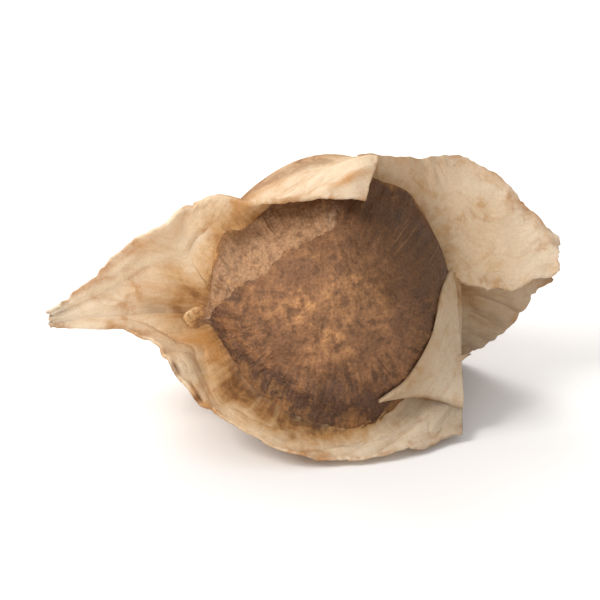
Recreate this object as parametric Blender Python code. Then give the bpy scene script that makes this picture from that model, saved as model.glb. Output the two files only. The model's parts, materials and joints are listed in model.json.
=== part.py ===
"""A moringa seed as it lies on a table: a three-sided brown body with a papery wing along each of its ridges.

The seed grew as one piece, so it is one solid. Its wings run from pole to pole and meet in a tail at each end.
Lengths are in millimetres until MM turns them into metres. X runs along the seed, Y away from the viewer, Z up.
"""

import math

import bmesh
import bpy
from mathutils import Vector

MM = 0.001

# The body: a ball drawn out to three blunt ridges, lying a little askew
BODY_CENTRE = Vector((0.85, 1.25, 4.8))
BODY_HALF_LENGTH = 5.1
BODY_AXIS = Vector((0.97, 0.12, 0.20)).normalized()
RIDGE_RADIUS = 5.6
FACE_RADIUS = 5.0
RIDGE_SHARPNESS = 1.5
RIDGE_SPREAD = 60  # degrees round the body from a ridge to the plain face
END_FULLNESS = 1.95
AROUND = 48
ALONG = 28

# Where each ridge looks at the left pole and at the right one, in degrees: 0 is away from the viewer, 90 is up
RIDGES = {"top": (100, 60), "front": (205, 250), "back": (330, 330)}

# The line in which the wings meet beyond each pole: x, y, z
LEFT_TAIL = ((-10.8, -1.6, 5.0), (-7.7, -0.6, 4.75), (-5.5, 0.1, 4.5), (-4.2, 0.5, 4.0))
RIGHT_TAIL = ((5.9, 1.75, 5.8), (7.0, 2.1, 5.35), (8.7, 2.6, 4.85), (10.7, 3.2, 5.1))

# The wings
WING_THICKNESS = 0.6
ROOT_DEPTH = 0.6
COLUMN_STEP = 0.6
ROWS = 9
RIPPLE = 0.12  # how far the free edges wave to either side
RIPPLE_LENGTH = 3.3

# The free edge of each wing: x, y, z and how many degrees the wing turns on its way out to it
FOLDED_TOP_EDGE = (
    (-10.8, -1.6, 5.45, 0),
    (-9.5, -1.1, 6.15, 5),
    (-8.2, -0.6, 7.3, 10),
    (-6.4, -0.2, 8.5, 20),
    (-5.1, 0.0, 9.2, 30),
    (-3.6, 0.0, 9.7, 60),
    (-2.5, -0.6, 9.8, 100),
    (-1.6, -1.1, 10.1, 120),
    (0.7, -1.4, 10.4, 133),
    (2.8, -1.2, 10.2, 137),
)
STANDING_TOP_EDGE = (
    (3.2, 2.2, 10.4, -20),
    (4.8, 3.8, 10.05, -25),
    (6.1, 4.4, 9.9, -30),
    (7.7, 4.6, 9.0, -30),
    (9.5, 4.4, 7.3, -20),
    (10.5, 4.0, 6.2, 0),
)
FRONT_EDGE = (
    (-10.8, -1.65, 4.7, 0),
    (-8.5, -1.6, 4.6, 0),
    (-7.5, -1.6, 4.6, 0),
    (-6.4, -2.2, 4.2, -10),
    (-5.8, -3.0, 3.6, -10),
    (-4.9, -3.9, 2.6, -15),
    (-3.9, -4.5, 2.1, -20),
    (-2.7, -5.0, 1.5, -25),
    (-1.3, -5.3, 0.9, -35),
    (0.2, -5.3, 0.4, -40),
    (2.3, -5.0, 0.25, -50),
    (3.9, -4.4, 0.25, -50),
    (5.3, -3.5, 0.3, -50),
    (6.4, -2.8, 0.4, -60),
)
BACK_EDGE = (
    (-10.4, -1.4, 4.85, 0),
    (-8.5, 0.3, 4.2, 10),
    (-6.5, 2.5, 2.9, 15),
    (-4.9, 4.4, 1.8, 20),
    (-3.0, 6.1, 0.9, 30),
    (-1.0, 7.1, 0.3, 40),
    (1.2, 7.5, 0.2, 45),
    (3.2, 7.1, 0.2, 45),
    (5.0, 6.2, 0.2, 30),
    (6.5, 5.0, 0.25, 0),
    (7.7, 4.3, 1.3, 0),
    (8.5, 4.0, 2.2, 0),
    (9.5, 3.7, 3.8, 0),
    (10.4, 3.4, 4.5, 0),
)

# The crease below which the front wing's right end bends flat: x, y, z, and the x between which it fades in
FLAP_CREASE = ((2.4, -1.8, 1.4), (3.1, -1.4, 1.37), (4.7, -1.0, 1.0), (6.4, -1.6, 0.67))
FLAP_START = 2.4
FLAP_FULL = 3.4
CREASE_SHARE = 0.55  # of the section's rows

SEED_COLOUR = (0.42, 0.27, 0.16, 1.0)
SEED_ROUGHNESS = 0.7
FLOOR_CUTTER_SIDE = 40.0


def body_frame():
    """The two directions across the body: away from the viewer, and up."""
    up = (Vector((0, 0, 1)) - BODY_AXIS.z * BODY_AXIS).normalized()
    return up.cross(BODY_AXIS), up


def across(degrees):
    away, up = body_frame()
    angle = math.radians(degrees)
    return math.cos(angle) * away + math.sin(angle) * up


def ridge_at(name, along):
    """The direction of a ridge at a place between the poles, -1 and 1."""
    left, right = RIDGES[name]
    return left + (right - left) * (along + 1) / 2


def radius_at(along, degrees):
    """How far the body would reach at its waist in the direction given."""
    off = min(abs((degrees - ridge_at(name, along) + 180) % 360 - 180) for name in RIDGES)
    ridge = (1 + math.cos(math.pi * min(1.0, off / RIDGE_SPREAD))) / 2
    return FACE_RADIUS + (RIDGE_RADIUS - FACE_RADIUS) * ridge**RIDGE_SHARPNESS


def fullness(along):
    """The share of the waist's radius that is left at a place between the poles, -1 and 1."""
    return max(0.0, 1 - abs(along) ** END_FULLNESS) ** (1 / END_FULLNESS)


def body_point(along, degrees, sunk=0.0):
    out = max(0.0, radius_at(along, degrees) * fullness(along) - sunk)
    return BODY_CENTRE + BODY_HALF_LENGTH * along * BODY_AXIS + out * across(degrees)


def ridge_point(name, along):
    """Where a wing's root lies, sunk into the body under its ridge."""
    return body_point(along, ridge_at(name, along), ROOT_DEPTH)


def smooth_through(points, x):
    """The values at x of a smooth curve through points, whose first value is x."""
    last = len(points) - 1
    i = max(k for k in range(last) if k == 0 or points[k][0] <= x)
    before, start, end, after = (points[min(max(k, 0), last)] for k in (i - 1, i, i + 1, i + 2))
    span = end[0] - start[0]
    t = (x - start[0]) / span
    values = []
    for b, s, e, a in zip(before[1:], start[1:], end[1:], after[1:]):
        leave = (e - b) / (end[0] - before[0]) * span
        arrive = (a - s) / (after[0] - start[0]) * span
        rise = t * t * (3 - 2 * t)
        values.append(s + (e - s) * rise + leave * t * (1 - t) ** 2 - arrive * t * t * (1 - t))
    return values


def root_at(x, ridge):
    """Where a wing starts at x: on the tail's line, or sunk into the body under its ridge."""
    if x <= LEFT_TAIL[-1][0]:
        return Vector((x, *smooth_through(LEFT_TAIL, x)))
    low, high = -1.0, 0.9
    if x >= ridge_point(ridge, high).x:
        return Vector((x, *smooth_through(RIGHT_TAIL, max(x, RIGHT_TAIL[0][0]))))
    for _ in range(30):
        middle = (low + high) / 2
        if ridge_point(ridge, middle).x < x:
            low = middle
        else:
            high = middle
    return ridge_point(ridge, low)


def rippled(root, edge, phase):
    """The free edge's point, moved to one side of the wing or the other as the edge waves."""
    side = Vector((0, root.z - edge.z, edge.y - root.y)).normalized()
    wave = math.sin(math.tau * edge.x / RIPPLE_LENGTH + math.radians(phase))
    return edge + RIPPLE * wave * side


def section(root, edge, turn_degrees, rows):
    """Points from root to edge along an arc, across X, that turns by turn_degrees."""
    turn = math.radians(turn_degrees)
    chord = edge - root
    points = []
    for row in range(rows):
        share = row / (rows - 1)
        if abs(turn) < math.radians(1):
            points.append(root + share * chord)
            continue
        reach = math.sin(share * turn / 2) / math.sin(turn / 2)
        lean = (share - 1) * turn / 2
        y = chord.y * math.cos(lean) - chord.z * math.sin(lean)
        z = chord.y * math.sin(lean) + chord.z * math.cos(lean)
        points.append(root + Vector((share * chord.x, reach * y, reach * z)))
    return points


def creased(points, x):
    """The section at x bent at the flap's crease, as far as the crease has faded in there."""
    fade = min(1.0, max(0.0, (x - FLAP_START) / (FLAP_FULL - FLAP_START)))
    crease = Vector((x, *smooth_through(FLAP_CREASE, max(x, FLAP_START))))
    root, edge = points[0], points[-1]
    bent = []
    for row, point in enumerate(points):
        share = row / (len(points) - 1)
        if share < CREASE_SHARE:
            straight = root.lerp(crease, share / CREASE_SHARE)
        else:
            straight = crease.lerp(edge, (share - CREASE_SHARE) / (1 - CREASE_SHARE))
        bent.append(point.lerp(straight, fade))
    return bent


def object_of(name, mesh):
    made = bpy.data.objects.new(name, bpy.data.meshes.new(name))
    mesh.to_mesh(made.data)
    mesh.free()
    bpy.context.scene.collection.objects.link(made)
    return made


def make_body():
    """A ball whose points are moved to the body's surface."""
    mesh = bmesh.new()
    bmesh.ops.create_uvsphere(mesh, u_segments=AROUND, v_segments=ALONG, radius=1)
    for vertex in mesh.verts:
        degrees = math.degrees(math.atan2(vertex.co.y, vertex.co.x))
        vertex.co = body_point(vertex.co.z, degrees) * MM
    bmesh.ops.recalc_face_normals(mesh, faces=mesh.faces)
    return object_of("seed_body", mesh)


def make_wing(name, ridge, edge):
    """A sheet of even thickness between the ridge and its free edge."""
    first, last = edge[0][0], edge[-1][0]
    columns = round((last - first) / COLUMN_STEP)
    mesh = bmesh.new()
    grid = []
    for column in range(columns + 1):
        x = first + (last - first) * column / columns
        y, z, turn = smooth_through(edge, x)
        root = root_at(x, ridge)
        edge_point = rippled(root, Vector((x, y, z)), RIDGES[ridge][0])
        points = section(root, edge_point, turn, ROWS)
        if ridge == "front":
            points = creased(points, x)
        grid.append([mesh.verts.new(point * MM) for point in points])
    for left, right in zip(grid, grid[1:]):
        for row in range(ROWS - 1):
            mesh.faces.new((left[row], right[row], right[row + 1]))
            mesh.faces.new((left[row], right[row + 1], left[row + 1]))
    made = object_of(name, mesh)
    wall = made.modifiers.new("thickness", "SOLIDIFY")
    wall.thickness = WING_THICKNESS * MM
    wall.offset = 0
    return made


def apply_modifiers(made):
    """Keeps the object's evaluated shape and drops its modifiers."""
    graph = bpy.context.evaluated_depsgraph_get()
    shaped = bpy.data.meshes.new_from_object(made.evaluated_get(graph))
    made.modifiers.clear()
    made.data = shaped


def fuse(body, wings):
    """Joins the wings to the body in one closed solid."""
    grown = bpy.data.collections.new("wings")
    bpy.context.scene.collection.children.link(grown)
    for wing in wings:
        apply_modifiers(wing)
        bpy.context.scene.collection.objects.unlink(wing)
        grown.objects.link(wing)
    union = body.modifiers.new("wings", "BOOLEAN")
    union.operation = "UNION"
    union.solver = "EXACT"
    union.operand_type = "COLLECTION"
    union.collection = grown
    apply_modifiers(body)
    for wing in wings:
        bpy.data.objects.remove(wing)
    bpy.data.collections.remove(grown)


def fill_pockets(seed):
    """Drops the inner surface of any pocket that the wings' roots have closed off."""
    mesh = bmesh.new()
    mesh.from_mesh(seed.data)
    left = set(mesh.faces)
    skins = []
    while left:
        skin, edge_of_skin = set(), [left.pop()]
        while edge_of_skin:
            face = edge_of_skin.pop()
            skin.add(face)
            near = {other for edge in face.edges for other in edge.link_faces} & left
            left -= near
            edge_of_skin.extend(near)
        skins.append(skin)
    outer = max(skins, key=len)
    inner = [face for skin in skins if skin is not outer for face in skin]
    bmesh.ops.delete(mesh, geom=inner, context="FACES")
    mesh.to_mesh(seed.data)
    mesh.free()
    print(f"filled {len(skins) - 1} pockets")


def flatten_underside(seed):
    """Takes off what lies under Z = 0, which leaves small flat spots to rest on."""
    mesh = bmesh.new()
    half = FLOOR_CUTTER_SIDE / 2
    bmesh.ops.create_cube(mesh, size=FLOOR_CUTTER_SIDE * MM)
    bmesh.ops.translate(mesh, verts=mesh.verts, vec=(0, 0, -half * MM))
    floor = object_of("floor_cutter", mesh)
    cut = seed.modifiers.new("underside", "BOOLEAN")
    cut.operation = "DIFFERENCE"
    cut.solver = "EXACT"
    cut.object = floor
    apply_modifiers(seed)
    bpy.data.objects.remove(floor)


def centre_on_origin(seed):
    """Moves the solid so that the origin is under the middle of its box."""
    corners = [vertex.co for vertex in seed.data.vertices]
    middle_x = (min(c.x for c in corners) + max(c.x for c in corners)) / 2
    middle_y = (min(c.y for c in corners) + max(c.y for c in corners)) / 2
    for vertex in seed.data.vertices:
        vertex.co -= Vector((middle_x, middle_y, 0))
    print(f"moved by {-middle_x / MM:.3f}, {-middle_y / MM:.3f} mm")


def paint(seed):
    finish = bpy.data.materials.new("seed_coat")
    finish.use_nodes = True
    shader = finish.node_tree.nodes["Principled BSDF"]
    shader.inputs["Base Color"].default_value = SEED_COLOUR
    shader.inputs["Roughness"].default_value = SEED_ROUGHNESS
    shader.inputs["Metallic"].default_value = 0.0
    seed.data.materials.clear()
    seed.data.materials.append(finish)


def main():
    for old in list(bpy.data.objects):
        bpy.data.objects.remove(old)
    seed = make_body()
    wings = [
        make_wing("folded_top_wing", "top", FOLDED_TOP_EDGE),
        make_wing("standing_top_wing", "top", STANDING_TOP_EDGE),
        make_wing("front_wing", "front", FRONT_EDGE),
        make_wing("back_wing", "back", BACK_EDGE),
    ]
    fuse(seed, wings)
    flatten_underside(seed)
    fill_pockets(seed)
    centre_on_origin(seed)
    paint(seed)
    seed.data.shade_smooth()
    seed.data.set_sharp_from_angle(angle=math.radians(40))
    seed.name = "moringa_seed"


main()
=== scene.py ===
# %% [markdown]
# # A moringa seed on a white table
# This lesson dresses a moringa seed. The seed is a brown ball with three blunt ridges, and a papery wing
# grows out of each ridge. The solid model made before gives its size and place. Here the same shape is
# made again, fine enough to look at from near by, and it gets its colours, its fibres and its folds.

# %% Load the solid model
import json
import math
import random

import bpy
import numpy as np
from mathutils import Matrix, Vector, noise

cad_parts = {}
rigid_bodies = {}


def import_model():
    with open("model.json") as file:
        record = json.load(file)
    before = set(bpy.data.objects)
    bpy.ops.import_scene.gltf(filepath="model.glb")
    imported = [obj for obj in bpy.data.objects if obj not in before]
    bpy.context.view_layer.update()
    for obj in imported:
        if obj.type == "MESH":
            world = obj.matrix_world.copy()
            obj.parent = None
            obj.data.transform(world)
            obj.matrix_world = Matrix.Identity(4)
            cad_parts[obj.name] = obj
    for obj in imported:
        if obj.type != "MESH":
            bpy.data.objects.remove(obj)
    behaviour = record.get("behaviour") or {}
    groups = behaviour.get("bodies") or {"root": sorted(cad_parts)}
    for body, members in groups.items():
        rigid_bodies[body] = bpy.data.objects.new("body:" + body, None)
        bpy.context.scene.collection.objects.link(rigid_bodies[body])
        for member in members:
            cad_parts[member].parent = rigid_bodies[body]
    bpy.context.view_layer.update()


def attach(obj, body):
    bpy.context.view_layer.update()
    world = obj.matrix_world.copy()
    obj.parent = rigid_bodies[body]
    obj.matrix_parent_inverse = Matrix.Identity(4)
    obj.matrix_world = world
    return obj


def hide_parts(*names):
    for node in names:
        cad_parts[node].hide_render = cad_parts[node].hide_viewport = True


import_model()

# %% [markdown]
# ## Units, and a clean start
# The seed is 21 mm long, so every length here is in millimetres. Places are those in which the solid was
# drawn. It was then moved so that the origin is under its middle, and SEED_SHIFT is that move.

# %% Units
MM = 0.001
SEED_SHIFT = Vector((0.132, -1.178, 0.0))


def choose_only(*chosen):
    """Operators act on all that is selected, and the solid model comes in selected."""
    bpy.ops.object.select_all(action="DESELECT")
    for made in chosen:
        made.select_set(True)
        bpy.context.view_layer.objects.active = made


def ease(low, high, value):
    """0 below low, 1 above high, and a soft rise between them."""
    share = min(1.0, max(0.0, (value - low) / (high - low)))
    return share * share * (3 - 2 * share)


# %% [markdown]
# ## The camera
# The photograph looks down by about 25 degrees, from far away, so a long lens stands far back. It frames
# a square of 25 mm around the seed.

# %% Camera
VIEW_ELEVATION = math.radians(25)
VIEW_WIDTH = 25.0
SENSOR_WIDTH = 36.0
LENS = 400.0
NEAR_LIMIT = 1.0
FAR_LIMIT = 5000.0
VIEW_CENTRE = Vector((-0.2, 0.0, 4.66))  # in the finished model's frame

towards_lens = Vector((0, -math.cos(VIEW_ELEVATION), math.sin(VIEW_ELEVATION)))
bpy.ops.object.camera_add()
camera = bpy.context.object
camera.data.lens = LENS
camera.data.sensor_width = SENSOR_WIDTH
camera_distance = VIEW_WIDTH * LENS / SENSOR_WIDTH
camera.location = (VIEW_CENTRE + camera_distance * towards_lens) * MM
camera.rotation_euler = (math.pi / 2 - VIEW_ELEVATION, 0, 0)
camera.data.clip_start = NEAR_LIMIT * MM
camera.data.clip_end = FAR_LIMIT * MM
bpy.context.scene.camera = camera
print(f"camera {camera_distance:.0f} mm away")

# %% [markdown]
# ## The table and the light
# A photograph on white has a broad light above and to the left, and white all round that fills the
# shadows. One large lamp makes the soft shadow under the lip of the wing, one shines on the paper from
# behind, a weak one fills the front, and a pale sky does the rest. The Standard view keeps white white.

# %% Table and light
TABLE_SIDE = 3000.0
TABLE_WHITE = (0.82, 0.812, 0.808, 1)
TABLE_ROUGHNESS = 0.8
SKY_COLOUR = (1.0, 0.985, 0.975, 1)
SKY_STRENGTH = 0.76
# place in mm, side in mm, watts, colour
LAMPS = {
    "window_light": ((-220, -110, 230), 130, 0.82, (1.0, 0.975, 0.94)),
    "back_light": ((-120, 250, 190), 180, 0.66, (1.0, 0.98, 0.95)),
    "front_fill": ((40, -310, 120), 220, 0.14, (1.0, 0.985, 0.97)),
}


def lay_table():
    bpy.ops.mesh.primitive_plane_add(size=TABLE_SIDE * MM)
    table = bpy.context.object
    table.name = "table"
    paint = bpy.data.materials.new("table_white")
    paint.use_nodes = True
    shader = paint.node_tree.nodes["Principled BSDF"]
    shader.inputs["Base Color"].default_value = TABLE_WHITE
    shader.inputs["Roughness"].default_value = TABLE_ROUGHNESS
    table.data.materials.append(paint)


def hang_lamp(name, place, side, watts, colour):
    bpy.ops.object.light_add(type="AREA", location=Vector(place) * MM)
    lamp = bpy.context.object
    lamp.name = name
    lamp.data.size = side * MM
    lamp.data.energy = watts
    lamp.data.color = colour
    lamp.rotation_euler = Vector(place).to_track_quat("Z", "Y").to_euler()


lay_table()
for lamp_name, (place, side, watts, colour) in LAMPS.items():
    hang_lamp(lamp_name, place, side, watts, colour)
room = bpy.data.worlds.new("white_room")
bpy.context.scene.world = room
room.use_nodes = True
sky = room.node_tree.nodes["Background"]
sky.inputs["Color"].default_value = SKY_COLOUR
sky.inputs["Strength"].default_value = SKY_STRENGTH
bpy.context.scene.view_settings.view_transform = "Standard"
print("table,", len(LAMPS), "lamps and a sky")

# %% [markdown]
# ## The plan of the body
# The body is a ball drawn out to three blunt ridges. A place on it is given by how far along the seed it
# is, from -1 at the left pole to 1 at the right one, and by an angle round the seed. The same few sizes
# made the solid. New here are the keels: a thin rib runs along each ridge, and the wing grows out of it
# without a seam.

# %% Body plan
BODY_CENTRE = Vector((0.85, 1.25, 4.8))
BODY_HALF_LENGTH = 5.1
BODY_AXIS = Vector((0.97, 0.12, 0.20)).normalized()
RIDGE_RADIUS = 5.6
FACE_RADIUS = 5.0
RIDGE_SHARPNESS = 1.5
RIDGE_SPREAD = 60
END_FULLNESS = 1.95
RIDGES = {"top": (100, 60), "front": (205, 250), "back": (330, 330)}  # degrees at the left and right pole


def across(degrees):
    """The direction across the seed at an angle: 0 is away from the viewer, 90 is up."""
    up = (Vector((0, 0, 1)) - BODY_AXIS.z * BODY_AXIS).normalized()
    away = up.cross(BODY_AXIS)
    return math.cos(math.radians(degrees)) * away + math.sin(math.radians(degrees)) * up


def ridge_at(name, along):
    left, right = RIDGES[name]
    return left + (right - left) * (along + 1) / 2


def off_ridge(name, along, degrees):
    """Degrees from one ridge."""
    return abs((degrees - ridge_at(name, along) + 180) % 360 - 180)


def from_ridge(along, degrees):
    """Degrees to the nearest ridge."""
    return min(off_ridge(name, along, degrees) for name in RIDGES)


def radius_at(along, degrees):
    off = min(1.0, from_ridge(along, degrees) / RIDGE_SPREAD)
    ridge = (1 + math.cos(math.pi * off)) / 2
    return FACE_RADIUS + (RIDGE_RADIUS - FACE_RADIUS) * ridge**RIDGE_SHARPNESS


def fullness(along):
    return max(0.0, 1 - abs(along) ** END_FULLNESS) ** (1 / END_FULLNESS)


def body_point(along, degrees, out=0.0):
    radius = max(0.0, radius_at(along, degrees) * fullness(along) + out)
    return BODY_CENTRE + BODY_HALF_LENGTH * along * BODY_AXIS + radius * across(degrees)


print("waist", FACE_RADIUS, "to", RIDGE_RADIUS, "mm from the axis")

# %% [markdown]
# ## The faces of the body
# Each of the three faces is measured in its own flat plan, in mm from its middle. The relief is worked
# out from that plan, and the plan is kept as a UV map too, so that the painted fibres lie along the
# modelled ones.

# %% Faces
FACES = (("top", "front"), ("front", "back"), ("back", "top"))  # the two ridges that bound each face


def face_bounds(number, along):
    """The directions of a face's two ridges, the second being the larger."""
    first, second = (ridge_at(name, along) for name in FACES[number])
    return first, second if second > first else second + 360


def face_number(along, degrees):
    for number in range(len(FACES)):
        first, second = face_bounds(number, along)
        if (degrees - first) % 360 < second - first:
            return number
    return 0


def face_plan(along, degrees, number):
    """The place on a face in mm: along the seed, and across it."""
    first, second = face_bounds(number, along)
    off_middle = math.radians((degrees - (first + second) / 2 + 180) % 360 - 180)
    return Vector((BODY_HALF_LENGTH * along, FACE_RADIUS * fullness(along) * off_middle, 0))


def to_ridge(along, degrees):
    """The distance to the nearest ridge, in mm over the surface."""
    return math.radians(from_ridge(along, degrees)) * RIDGE_RADIUS * fullness(along)


print("from a face's middle to a ridge:", round(to_ridge(0, 155), 1), "mm")

# %% [markdown]
# ## The skin's relief
# Fibres run from the middle of each face out towards the ridges, and there are small lumps and pits
# everywhere. Beyond a ragged line, towards the left pole and the face's first ridge, a thin outer skin
# has flaked off, so the coat is a step lower there. Noise makes all of it, which is less work than
# sculpting.

# %% Worn skin
WORN_EDGE = 2.45  # how far from a face's middle the skin is worn off, in mm
WORN_WAY = Vector((-0.43, -0.90, 0))
WORN_BENDS = ((0.40, 1.2), (0.25, 0.45))  # height and size in mm, here and below
WORN_RISE = (-0.04, 0.07)
WORN_END = (1.6, 0.2)
WORN_STEP = 0.20


def bumps(place, sizes, level=0.0):
    """A level, with smooth noises added to it. Each is given by its height and its size in mm."""
    return sum((height * noise.noise(place / size) for height, size in sizes), level)


def worn_share(along, degrees):
    """0 where the outer skin is whole, and 1 beyond the ragged line where it is gone."""
    plan = face_plan(along, degrees, face_number(along, degrees))
    edge = bumps(body_point(along, degrees), WORN_BENDS, WORN_EDGE)
    start, end = (edge + step for step in WORN_RISE)
    return ease(start, end, plan.dot(WORN_WAY)) * ease(*WORN_END, plan.x)


print("the worn step is", WORN_STEP, "mm deep")

# %% Relief of the coat
LUMPS = ((0.16, 2.2), (0.11, 0.95), (0.05, 0.4))
FIBRES_ROUND = 11.0
FIBRE_HEIGHTS = (0.12, 0.07)
FIBRES_FROM = (2.6, 4.8)  # mm from the middle of a face
PIT_DEPTH = 0.08
PIT_SIZE = 0.35
CALM = 0.3  # the share of the relief that is left on a ridge
CALM_NEAR = (0.3, 1.8)
STEP_NEAR = (0.3, 1.6)


def fibre_height(ball, plan, number):
    """Two fine noises, drawn out away from the middle of the face."""
    turn = math.atan2(plan.y, plan.x)
    round_place = Vector((math.cos(turn), math.sin(turn), 0)) * FIBRES_ROUND + ball * 0.35
    coarse = noise.noise(round_place + Vector((0, 0, plan.length * 0.35 + 9 * number)))
    fine = noise.noise(round_place * 2.3 + Vector((0, 0, plan.length * 0.8 + 5 * number)))
    tall, low = FIBRE_HEIGHTS
    return (tall * coarse + low * fine) * ease(*FIBRES_FROM, plan.length)


def coat_relief(along, degrees):
    """How far the coat stands out at a place, in mm."""
    number = face_number(along, degrees)
    ball = body_point(along, degrees)
    fibres = fibre_height(ball, face_plan(along, degrees, number), number)
    pits = -PIT_DEPTH * max(0.0, noise.noise(ball / PIT_SIZE) - 0.15)
    worn = worn_share(along, degrees) * ease(*STEP_NEAR, to_ridge(along, degrees))
    calm = CALM + (1 - CALM) * ease(*CALM_NEAR, to_ridge(along, degrees))
    return calm * (bumps(ball, LUMPS) + fibres + pits) - WORN_STEP * worn


print("fibres up to", FIBRE_HEIGHTS[0], "mm high")

# %% Keels
KEEL_HEIGHT = 0.55
KEEL_WIDTH = 0.75
KEEL_FROM = (1.2, 3.4)  # mm from the axis
LOW_KEEL = {"top": -0.2, "front": 0.1, "back": 1.0}  # its share where the wing folds over the body


def keel(along, degrees):
    """How far the rib along a ridge stands out."""
    rise = ease(*KEEL_FROM, RIDGE_RADIUS * fullness(along))
    folded = {
        "top": ease(-0.75, -0.45, along) * ease(0.7, 0.3, along),
        "front": ease(0.1, 0.45, along),
        "back": 0.0,
    }
    nearest = min(RIDGES, key=lambda name: off_ridge(name, along, degrees))
    rise *= 1 - (1 - LOW_KEEL[nearest]) * folded[nearest]
    return KEEL_HEIGHT * rise * math.exp(-((to_ridge(along, degrees) / KEEL_WIDTH) ** 2))


print("keels", KEEL_HEIGHT, "mm high")

# %% [markdown]
# ## The body
# A ball primitive has its poles and its rings where the seed has them, so its points only have to move to
# the seed's surface. A hand could pull the ridges with proportional editing, but the formula puts the
# wings' roots and the ridges in the same place. A small papery nub ends the left pole, where the three
# wings meet.

# %% What the coat's finish reads
NUB_PAPER = 0.7
TOP_PAPER = 0.7
TOP_PAPER_SPREAD = 9  # degrees, as in the next three
# where the painted shadow of the lip lies on the coat, in degrees off the top ridge
LIP_SHADE_LEFT = 9
LIP_SHADE_MIDDLE = 26
LIP_SHADE_SPREAD = 10


def coat_marks(along, degrees, nub):
    """How near the paper a place is, how worn, and how deep in the painted shadow under the lip."""
    off_top = off_ridge("top", along, degrees)
    papery = NUB_PAPER * nub + TOP_PAPER * math.exp(-((off_top / TOP_PAPER_SPREAD) ** 2))
    shade_off = LIP_SHADE_LEFT + (LIP_SHADE_MIDDLE - LIP_SHADE_LEFT) * ease(-0.8, 0.0, along)
    off_shade = (off_top - shade_off) / LIP_SHADE_SPREAD
    return {
        "outward": 0.1 - 0.8 * to_ridge(along, degrees) + papery,
        "worn": worn_share(along, degrees),
        # painted shadow of the lip, over a browner coat
        "painted_lip_shadow": math.exp(-(off_shade**2)) * ease(-0.85, -0.55, along),
    }


def keep_marks(mesh, marks):
    """Keeps the marks, one set of numbers for each point, for the finish to read."""
    for name in marks[0]:
        numbers = [mark[name] for mark in marks]
        mesh.attributes.new(name, "FLOAT", "POINT").data.foreach_set("value", numbers)


def new_layout(mesh, name):
    """An empty UV map in place of the primitive's own."""
    for layer in list(mesh.uv_layers):
        mesh.uv_layers.remove(layer)
    return mesh.uv_layers.new(name=name)


print("marks of the coat:", *coat_marks(0.0, 0.0, 0.0))

# %% Body
RINGS = 190
SECTORS = 300
POLE_START = 0.96  # beyond this share of the half length there is no relief
NUB_REACH = Vector((-1.05, -1.15, 0.8))
NUB_WIDTH = 0.85


def place_points(made, places):
    flat = [number for place in places for number in (place + SEED_SHIFT) * MM]
    made.data.vertices.foreach_set("co", flat)
    made.data.update()


def shape_body():
    choose_only()
    bpy.ops.mesh.primitive_uv_sphere_add(segments=SECTORS, ring_count=RINGS, radius=1)
    body = bpy.context.object
    body.name = "seed_body"
    places, plans, marks = [], [], []
    for vertex in body.data.vertices:
        along = max(-1.0, min(1.0, vertex.co.z))
        degrees = math.degrees(math.atan2(vertex.co.y, vertex.co.x))
        relief = coat_relief(along, degrees) * ease(1.0, POLE_START, abs(along))
        place = body_point(along, degrees, relief + keel(along, degrees))
        off_axis = RIDGE_RADIUS * fullness(along)
        nub = math.exp(-((off_axis / NUB_WIDTH) ** 2)) if along < 0 else 0.0
        place += nub * NUB_REACH
        place.z = max(0.0, place.z)
        places.append(place)
        plans.append((along, degrees))
        marks.append(coat_marks(along, degrees, nub))
    keep_marks(body.data, marks)
    lay_out_faces(body.data, plans)
    place_points(body, places)
    bpy.ops.object.shade_smooth()
    return body


def lay_out_faces(mesh, plans):
    """A UV map that shows each of the three faces flat, in mm from its middle."""
    layout = new_layout(mesh, "face_plan")
    for polygon in mesh.polygons:
        middle = sum((vertex_direction(plans[i][1]) for i in polygon.vertices), Vector((0, 0)))
        number = face_number(plans[polygon.vertices[0]][0], math.degrees(math.atan2(middle.y, middle.x)))
        for loop in polygon.loop_indices:
            along, degrees = plans[mesh.loops[loop].vertex_index]
            layout.data[loop].uv = face_plan(along, degrees, number).xy


def vertex_direction(degrees):
    return Vector((math.cos(math.radians(degrees)), math.sin(math.radians(degrees))))


seed_body = shape_body()
print("body:", len(seed_body.data.polygons), "faces")

# %% [markdown]
# ## The plan of the wings
# A wing is a sheet of dry paper. It starts on a ridge, or beyond the poles on the line where the wings
# meet, and it ends at a free edge. The section from root to edge is an arc that turns by a given angle.
# These are the places and angles of the solid's wings, from left to right. Only the standing wing reaches
# further left here, and the flap is a sheet of its own.

# %% Wing plan
LEFT_TAIL = ((-10.8, -1.6, 5.0), (-7.7, -0.6, 4.75), (-5.5, 0.1, 4.5), (-4.2, 0.5, 4.0))
RIGHT_TAIL = ((5.9, 1.75, 5.8), (7.0, 2.1, 5.35), (8.7, 2.6, 4.85), (10.7, 3.2, 5.1))
ROOT_DEPTH = 0.6
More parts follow.
